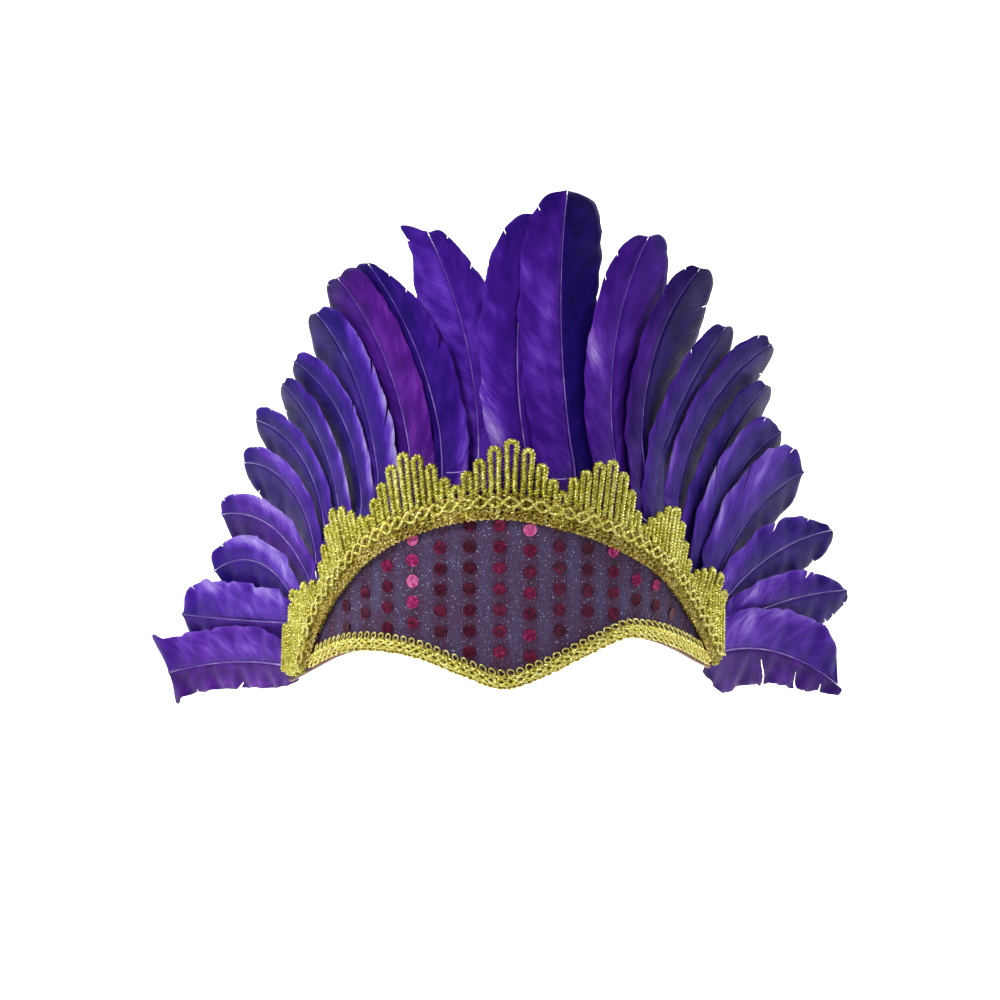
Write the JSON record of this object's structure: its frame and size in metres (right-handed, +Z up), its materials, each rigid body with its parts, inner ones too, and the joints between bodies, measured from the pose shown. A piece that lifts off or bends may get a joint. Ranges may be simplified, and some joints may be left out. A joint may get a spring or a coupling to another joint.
{
  "type": "feather headdress",
  "caption": "Carnival headdress: a bent brow plate with a foil-dot cover and gimp trims, a fan of goose feathers and an elastic band.",
  "frame": {"origin": "middle of the plate's inner face, at the height of the brow", "axes": "+X to the viewer's right across the brow, +Z up, -Y to the front"},
  "size_m": [0.3521, 0.1966, 0.2486],
  "materials": {
    "plate": "matt felt",
    "cover": "knit with foil dots",
    "gimp": "metallic gold cord",
    "feather": "dyed feather with a soft sheen",
    "elastic": "woven elastic"
  },
  "bodies": {
    "root": {"backing_plate": "plate", "sequin_fabric": "cover", "scalloped_trim": "gimp", "lower_braid": "gimp", "elastic_band": "elastic", "feather_left_1": "feather", "feather_left_2": "feather", "feather_left_3": "feather", "feather_left_4": "feather", "feather_left_5": "feather", "feather_left_6": "feather", "feather_left_7": "feather", "feather_left_8": "feather", "feather_left_9": "feather", "feather_left_10": "feather", "feather_left_11": "feather", "feather_left_12": "feather", "feather_right_1": "feather", "feather_right_2": "feather", "feather_right_3": "feather", "feather_right_4": "feather", "feather_right_5": "feather", "feather_right_6": "feather", "feather_right_7": "feather", "feather_right_8": "feather", "feather_right_9": "feather", "feather_right_10": "feather", "feather_right_11": "feather", "feather_right_12": "feather"}
  },
  "joints": []
}
